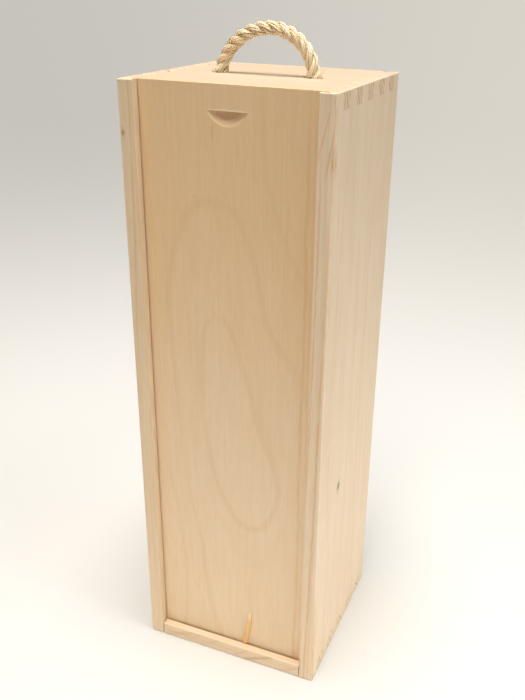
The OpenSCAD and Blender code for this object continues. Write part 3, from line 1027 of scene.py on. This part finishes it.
# tufts where the rope chafes on the mouths of its holes: which side, how many, how long,
# and the way that they lean
tufts = [
    {"foot": 1, "count": 26, "length": (0.0024, 0.0052), "lean": (0.60, -0.35, 0.70),
     "from": (0.0038, -0.0012, 0.0003)},
    {"foot": 1, "count": 26, "length": (0.0012, 0.0028), "lean": (-0.2, -0.8, 0.5),
     "from": (0.0, -0.0030, 0.0004)},
    {"foot": -1, "count": 24, "length": (0.0012, 0.0030), "lean": (-0.75, -0.35, 0.45),
     "from": (-0.0030, -0.0008, 0.0004)},
    {"foot": -1, "count": 18, "length": (0.0010, 0.0022), "lean": (0.3, -0.8, 0.5),
     "from": (0.0, -0.0030, 0.0004)},
]


def hairLine(start, way, bend, length):
    t = np.linspace(0, 1, hairs["rings"])[:, None]
    return start + length * (t * way + t * t * bend)


def makeHairs(course, material):
    rng = np.random.default_rng(7)
    heading, side, up = framesAlong(course)
    top = boxSize["top"]
    radius = rope["diameter"] / 2
    taper = np.linspace(1.0, hairs["tipShare"], hairs["rings"])
    tubes = TubeSet()

    def bright(points):
        return np.ones(points.shape[:2])

    for number in range(hairs["count"]):
        i = int(rng.integers(hairs["endGap"], len(course) - hairs["endGap"]))
        turn = rng.uniform(0, 2 * math.pi)
        out = math.cos(turn) * side[i] + math.sin(turn) * up[i]
        way = heading[i] * rng.choice([-1, 1]) * rng.uniform(*hairs["alongRope"])
        way = way + out * rng.uniform(*hairs["offRope"])
        bend = rng.normal(0, hairs["curl"], 3) + out * hairs["outCurl"]
        length = rng.uniform(*hairs["length"])
        height = course[i, 2]
        inHole = top - hairs["holeDepth"] < height < top + hairs["holeRise"]
        if inHole or (height < top and height + length > top - hairs["underside"]):
            length = hairs["cutShort"]
        line = hairLine(course[i] + out * radius * hairs["root"], way, bend, length)
        tubes.add(line, hairs["radius"] * taper, 3, number, bright)
    for tuft in tufts:
        foot = Vector((tuft["foot"] * rope["span"] / 2, 0.0, top))
        for number in range(tuft["count"]):
            spread = rng.normal(0, tuftShape["spread"], 3) * tuftShape["flatSpread"]
            start = np.array(foot + Vector(tuft["from"])) + spread
            way = np.array(tuft["lean"]) + rng.normal(0, tuftShape["leanVaries"], 3)
            bend = rng.normal(0, tuftShape["curl"], 3)
            line = hairLine(start, way, bend, rng.uniform(*tuft["length"]))
            line[:, 2] = np.maximum(line[:, 2], top + tuftShape["offBoard"])
            tubes.add(line, tuftShape["thicker"] * hairs["radius"] * taper, 3, number, bright)
    return tubes.build("rope_fibres", material)


def makeHandle():
    material = makeSisal()
    piece, course = makeRope(material)
    fibres = makeHairs(course, material)
    for part in (piece, fibres):
        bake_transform(part)
    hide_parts("rope_handle", "rope_knot_left", "rope_knot_right")


# a split sliver of wood, thick in the middle, with a thin toe and a pointed tip
splint = {
    "foot": (0.0082, -0.0476, 0.0055),
    "lean": 7.0,
    "length": 0.0295,
    "width": 0.0040,
    "thick": 0.0017,
    "toeThick": 0.0007,
    "lip": 0.0030,
    "rings": 44,
    "sides": 18,
    "straw": (0.88, 0.57, 0.23),
    "amber": (0.66, 0.36, 0.12),
    "streakShare": 0.55,
    # tip, tipFrom and tipShare: the painted highlight at the upper end
    "tip": (0.96, 0.82, 0.58),
    "tipFrom": 0.72,
    "tipShare": 0.8,
    "roughness": (0.38, 0.6),
    "bump": 0.5,
    "bumpDepth": 0.00015,
    "ridges": 0.10,
    "ripple": 0.05,
    "jag": 0.0009,
    "jagFrom": 0.9,
    "flatBack": 0.0004,
}
# its left and right edges in half widths, at shares of its length
splintOutline = [
    (0.0, -0.90, 0.95), (0.14, -0.88, 0.98), (0.30, -0.83, 1.03), (0.42, -0.47, 1.20),
    (0.55, -0.15, 1.37), (0.75, -0.18, 1.35), (0.90, -0.31, 1.04), (0.96, -0.24, 0.74),
    (0.985, -0.12, 0.46), (1.0, 0.06, 0.22),
]


def makeSplintWood():
    material, tree, surface = startMaterial("splint_wood", 0.45)
    place = addNode(tree, "TexCoord").outputs["Object"]
    fibre = useGroup(tree, woodFibre, {"Vector": place, "Fineness": 1.5, "Length": 0.03})
    foot, length = splint["foot"][2], splint["length"]
    # painted highlight: the upper end of the splint is painted pale, where light catches its tip
    tipHighlight = fade(tree, split(tree, place)["Z"], foot + splint["tipFrom"] * length, foot + length)
    wood = layer(tree, splint["straw"], splint["amber"], fibre["Streak"], splint["streakShare"])
    wood = layer(tree, wood, splint["tip"], tipHighlight, splint["tipShare"])
    rough = between(tree, fibre["Streak"], splint["roughness"])
    finishSurface(tree, surface, wood, rough, fibre["Height"], splint["bump"],
                  splint["bumpDepth"])
    return material


# a sine or cosine with its corners pushed out, so that the ring is nearer to a rectangle
def squared(value, power):
    return math.copysign(abs(value) ** power, value)


def makeSplint():
    rng = np.random.default_rng(23)
    sides, rings, length = splint["sides"], splint["rings"], splint["length"]
    toe, thickest, lip = splint["toeThick"], splint["thick"], splint["lip"]
    shares = np.linspace(0, 1, rings)
    outline = np.array(splintOutline)
    left, right = [np.interp(shares, outline[:, 0], outline[:, i]) * splint["width"] / 2
                   for i in (1, 2)]
    middle, halfWide = (left + right) / 2, (right - left) / 2
    up = shares * length
    thick = np.interp(up, [0, lip, 3 * lip, 0.7 * length, 0.93 * length, length],
                      [0.7 * toe, toe, thickest, thickest, 0.5 * thickest, 0.2 * thickest])
    angle = np.linspace(0, 2 * math.pi, sides, endpoint=False)
    ridges = 1 - splint["ridges"] * rng.random(sides)
    points, faces = [], []
    for i in range(rings):
        past = shares[i] - splint["jagFrom"]
        for k, a in enumerate(angle):
            ragged = ridges[k] - splint["ripple"] * math.sin(7 * shares[i] * (1 + k % 3) + k)
            x = middle[i] + halfWide[i] * (squared(math.cos(a), 0.7) * min(1.0, ragged))
            y = -thick[i] * (0.5 - 0.5 * squared(math.sin(a), 0.6))
            jag = splint["jag"] * (ridges[k] - 0.95) * 10 * (past > 0) * past * 10
            y *= ragged if y < -splint["flatBack"] else 1.0
            points.append((x, y, max(0.0, up[i] - abs(jag))))
    for i in range(rings - 1):
        for k in range(sides):
            a, b = i * sides + k, i * sides + (k + 1) % sides
            faces.append([a, b, b + sides, a + sides])
    faces.append(list(range(sides - 1, -1, -1)))
    faces.append([(rings - 1) * sides + k for k in range(sides)])
    mesh = bpy.data.meshes.new("splint")
    mesh.from_pydata(points, [], faces)
    turn = Quaternion((0, 1, 0), math.radians(splint["lean"])).to_matrix().to_4x4()
    mesh.transform(turn)
    mesh.transform(Matrix.Translation(splint["foot"]))
    piece = addPiece("splint", mesh, makeSplintWood())
    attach(piece, "splint")
    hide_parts("lid_splint")
    print("splint made")


levelOnly = (1.0, 1.0, 0.0)


# the backdrop's tone in a level direction: a little lighter on the right
def backdropTone(tree, direction):
    flat = vectorCalc(tree, "NORMALIZE", scaled(tree, direction, levelOnly))
    aside = vectorCalc(tree, "DOT_PRODUCT", flat, studio["toTheRight"])
    return tint(tree, fade(tree, aside, *studio["backdropTurn"]), studio["backdropLeft"],
                studio["backdropRight"])


def setWorld():
    world = bpy.data.worlds.new("studio")
    world.use_nodes = True
    tree = world.node_tree
    ambient = tree.nodes["Background"]
    ambient.inputs["Color"].default_value = (*studio["ambient"], 1.0)
    ambient.inputs["Strength"].default_value = studio["ambientStrength"]
    direction = addNode(tree, "TexCoord").outputs["Generated"]
    seen = addNode(tree, "Background", {"Color": backdropTone(tree, direction)})
    either = addNode(tree, "MixShader", {0: addNode(tree, "LightPath").outputs["Is Camera Ray"],
                                         1: ambient.outputs[0], 2: seen.outputs[0]})
    plug(tree, tree.nodes["World Output"].inputs["Surface"], either.outputs[0])
    bpy.context.scene.world = world
    bpy.context.scene.view_settings.view_transform = "Standard"


def setLamps():
    for lamp in lamps:
        data = bpy.data.lights.new(lamp["name"] + "_lamp", "AREA")
        data.shape = "DISK"
        data.size = lamp["size"]
        data.energy = lamp["power"]
        data.color = lamp["colour"]
        light = bpy.data.objects.new(data.name, data)
        light.location = lamp["place"]
        light.rotation_mode = "QUATERNION"
        toBox = Vector(lamp["aim"]) - light.location
        light.rotation_quaternion = toBox.to_track_quat("-Z", "Y")
        light.visible_camera = False
        bpy.context.scene.collection.objects.link(light)


# near the box the floor is lit; farther off it fades, and glows in the backdrop's tone
def setFloor():
    bpy.ops.mesh.primitive_plane_add(size=studio["floorSize"],
                                     location=(0, 0, -studio["floorDrop"]))
    floor = bpy.context.object
    floor.name = "floor"
    material, tree, surface = startMaterial("pale_floor", 0.0)
    place = addNode(tree, "TexCoord").outputs["Object"]
    far = vectorCalc(tree, "LENGTH", scaled(tree, place, levelOnly))
    distance = calc(tree, "LOGARITHM", far, 10.0)
    away, glow = [fade(tree, distance, *map(math.log10, studio[key]))
                  for key in ("floorFade", "floorGlow")]
    seen = addNode(tree, "LightPath").outputs["Is Camera Ray"]
    black = (0.0, 0.0, 0.0)
    near = tint(tree, seen, studio["floorNear"], studio["floorSeen"])
    plug(tree, surface["Base Color"], tint(tree, away, near, black))
    plug(tree, surface["Emission Color"],
         layer(tree, black, backdropTone(tree, place), glow, seen))
    surface["Emission Strength"].default_value = 1.0
    surface["Roughness"].default_value = studio["floorRoughness"]
    floor.data.materials.append(material)
    print("floor and light set")


def setCamera():
    data = bpy.data.cameras.new("camera")
    wide, high = camera["picture"]
    data.sensor_width = camera["sensor"]
    data.lens = camera["focalPixels"] * camera["sensor"] / high
    data.shift_x = -(camera["middlePixel"][0] - wide / 2) / high
    data.shift_y = (camera["middlePixel"][1] - high / 2) / high
    data.clip_start = 0.01
    view = bpy.data.objects.new("camera", data)
    view.location = camera["place"]
    view.rotation_mode = "QUATERNION"
    look = Vector(camera["forward"]).to_track_quat("-Z", "Y")
    view.rotation_quaternion = look @ Quaternion((0, 0, 1), math.radians(camera["roll"]))
    bpy.context.scene.collection.objects.link(view)
    bpy.context.scene.camera = view
    print("camera set")


setCamera()
setWorld()
setLamps()
setFloor()
makeHandle()
dressBoards()
makeSplint()
